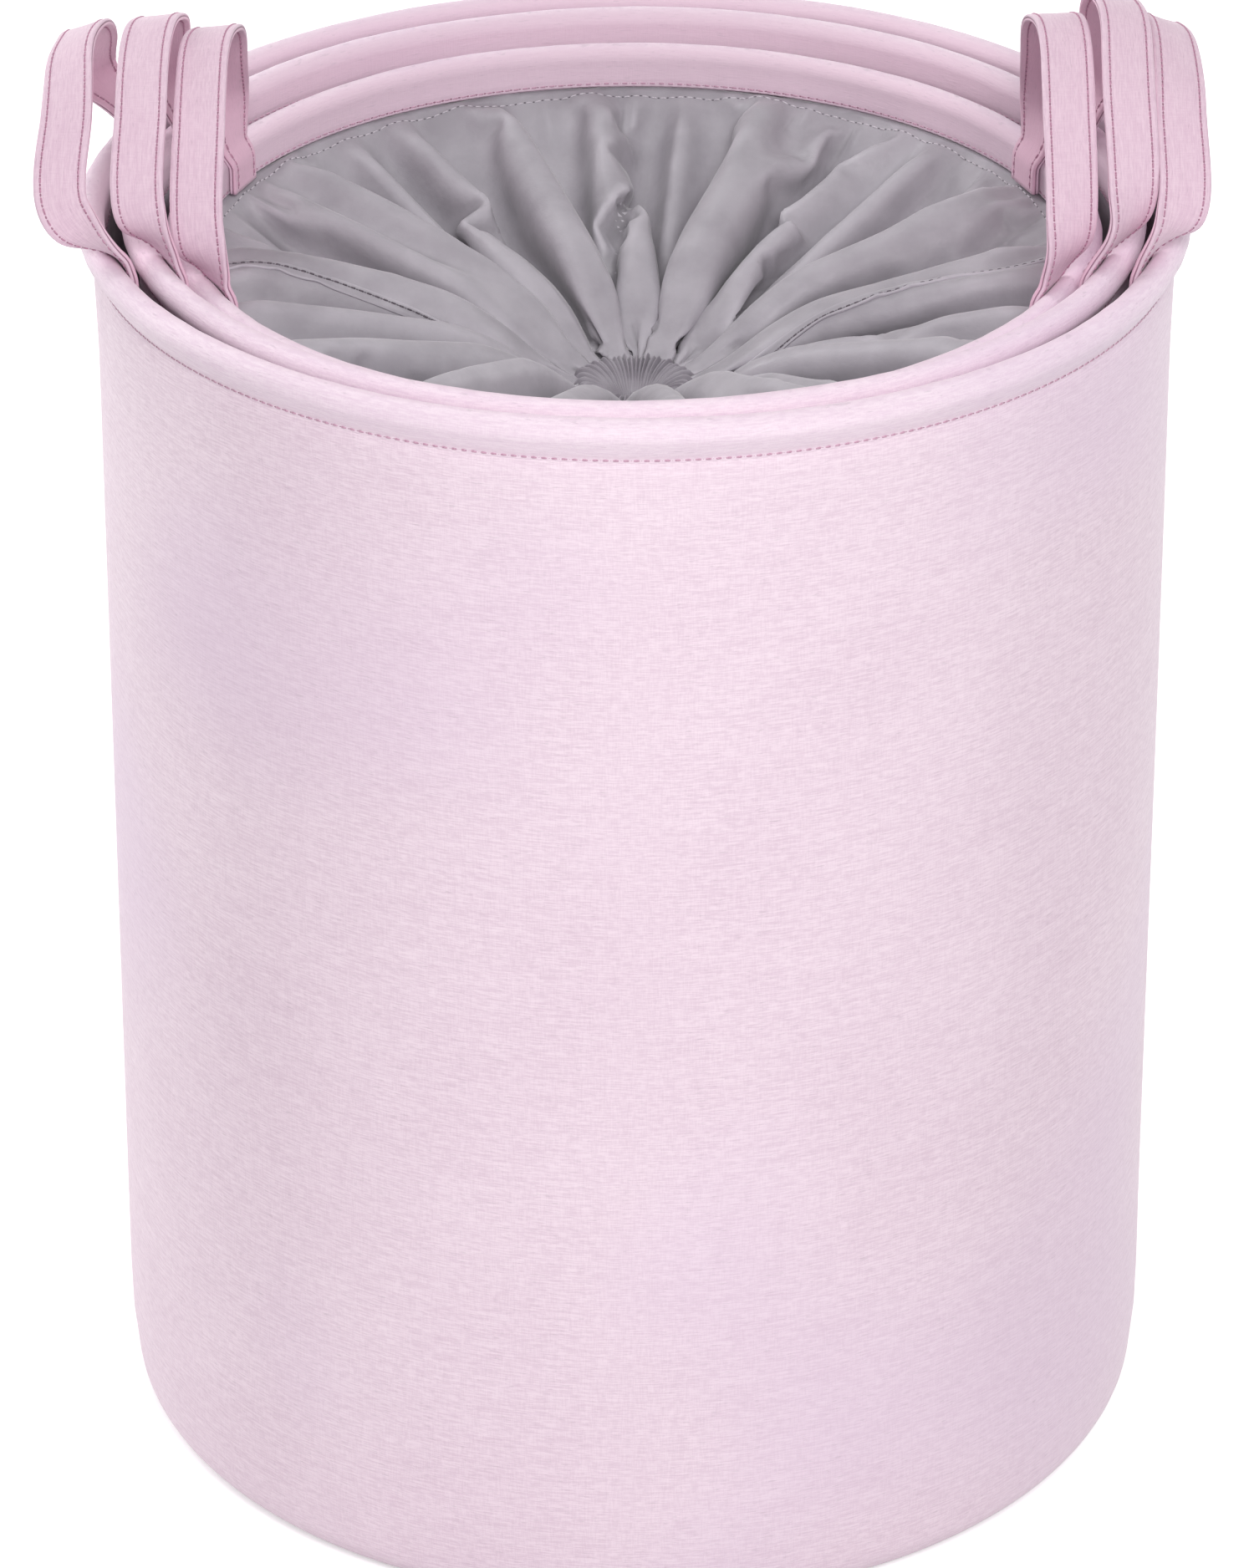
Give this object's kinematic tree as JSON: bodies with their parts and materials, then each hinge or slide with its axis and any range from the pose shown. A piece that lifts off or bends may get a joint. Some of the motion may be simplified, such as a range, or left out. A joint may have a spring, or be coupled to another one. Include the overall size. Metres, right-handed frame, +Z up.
{
  "type": "laundry hamper",
  "caption": "Nested round fabric laundry hampers with hooped rims, side strap handles and drawstring covers, the innermost cover drawn shut.",
  "frame": {"origin": "centre of the large hamper's underside, on the surface it stands on", "axes": "+Z up, -Y the front, the strap handles on the -X (left) and +X (right) sides"},
  "size_m": [0.428, 0.4134, 0.5734],
  "materials": {
    "wall_canvas": "woven, matt",
    "hem_canvas": "woven, matt",
    "strap_canvas": "woven, matt, edge-stitched",
    "base_canvas": "woven, matt",
    "binding_tape": "woven tape",
    "cover_polyester": "thin woven polyester, slight sheen",
    "cord_polyester": "braided",
    "hoop_plastic": "smooth"
  },
  "bodies": {
    "large_base": {"large_wall": "wall_canvas", "large_base_panel": "base_canvas", "large_base_binding": "binding_tape"},
    "large_rim": {"large_rim_hem": "hem_canvas", "large_rim_hoop": "hoop_plastic", "large_handle_left_front_end": "strap_canvas", "large_handle_left_back_end": "strap_canvas", "large_handle_right_front_end": "strap_canvas", "large_handle_right_back_end": "strap_canvas", "large_cover": "cover_polyester", "large_drawstring": "cord_polyester"},
    "large_handle_left": {"large_handle_left": "strap_canvas"},
    "large_handle_right": {"large_handle_right": "strap_canvas"},
    "medium_base": {"medium_wall": "wall_canvas", "medium_base_panel": "base_canvas", "medium_base_binding": "binding_tape"},
    "medium_rim": {"medium_rim_hem": "hem_canvas", "medium_rim_hoop": "hoop_plastic", "medium_handle_left_front_end": "strap_canvas", "medium_handle_left_back_end": "strap_canvas", "medium_handle_right_front_end": "strap_canvas", "medium_handle_right_back_end": "strap_canvas", "medium_cover": "cover_polyester", "medium_drawstring": "cord_polyester"},
    "medium_handle_left": {"medium_handle_left": "strap_canvas"},
    "medium_handle_right": {"medium_handle_right": "strap_canvas"},
    "small_base": {"small_wall": "wall_canvas", "small_base_panel": "base_canvas", "small_base_binding": "binding_tape"},
    "small_rim": {"small_rim_hem": "hem_canvas", "small_rim_hoop": "hoop_plastic", "small_handle_left_front_end": "strap_canvas", "small_handle_left_back_end": "strap_canvas", "small_handle_right_front_end": "strap_canvas", "small_handle_right_back_end": "strap_canvas", "small_cover": "cover_polyester"},
    "small_handle_left": {"small_handle_left": "strap_canvas"},
    "small_handle_right": {"small_handle_right": "strap_canvas"},
    "cover_mouth": {"small_cover_mouth": "cover_polyester", "small_drawstring": "cord_polyester"}
  },
  "joints": [
    {"name": "medium_lift", "type": "slide", "parent": "large_base", "child": "medium_base", "axis": [0, 0, 1], "range_m": [0, 0.62]},
    {"name": "small_lift", "type": "slide", "parent": "medium_base", "child": "small_base", "axis": [0, 0, 1], "range_m": [0, 0.62]},
    {"name": "large_collapse", "type": "slide", "parent": "large_base", "child": "large_rim", "axis": [0, 0, 1], "range_m": [-0.38, 0], "deforming": ["large_wall", "large_cover", "large_drawstring"]},
    {"name": "medium_collapse", "type": "slide", "parent": "medium_base", "child": "medium_rim", "axis": [0, 0, 1], "range_m": [-0.38, 0], "deforming": ["medium_wall", "medium_cover", "medium_drawstring"]},
    {"name": "small_collapse", "type": "slide", "parent": "small_base", "child": "small_rim", "axis": [0, 0, 1], "range_m": [-0.38, 0], "deforming": ["small_wall"]},
    {"name": "large_handle_left_swing", "type": "hinge", "parent": "large_rim", "child": "large_handle_left", "pos_m": [-0.18642, 0, 0.5017], "axis": [0, -1, 0], "range_deg": [-8, 32]},
    {"name": "large_handle_right_swing", "type": "hinge", "parent": "large_rim", "child": "large_handle_right", "pos_m": [0.18642, 0, 0.5017], "axis": [0, 1, 0], "range_deg": [0, 43]},
    {"name": "small_handle_left_swing", "type": "hinge", "parent": "small_rim", "child": "small_handle_left", "pos_m": [-0.15201, 0, 0.4923], "axis": [0, -1, 0], "range_deg": [-95, 0]},
    {"name": "small_handle_right_swing", "type": "hinge", "parent": "small_rim", "child": "small_handle_right", "pos_m": [0.15201, 0, 0.4923], "axis": [0, 1, 0], "range_deg": [-95, 0]},
    {"name": "medium_handle_left_swing", "type": "hinge", "parent": "medium_rim", "child": "medium_handle_left", "pos_m": [-0.16901, 0, 0.501], "axis": [0, -1, 0], "range_deg": [-48, 0]},
    {"name": "medium_handle_right_swing", "type": "hinge", "parent": "medium_rim", "child": "medium_handle_right", "pos_m": [0.16901, 0, 0.501], "axis": [0, 1, 0], "range_deg": [-48, 0]},
    {"name": "cover_draw", "type": "slide", "parent": "small_rim", "child": "cover_mouth", "axis": [0, 0, 1], "range_m": [0, 0.05], "deforming": ["small_cover"]}
  ],
  "couplings": [
    {"joint": "medium_collapse", "follows": "large_collapse", "ratio": 1},
    {"joint": "small_collapse", "follows": "large_collapse", "ratio": 1},
    {"joint": "medium_handle_left_swing", "follows": "small_handle_left_swing", "ratio": 0.5},
    {"joint": "medium_handle_right_swing", "follows": "small_handle_right_swing", "ratio": 0.5}
  ]
}
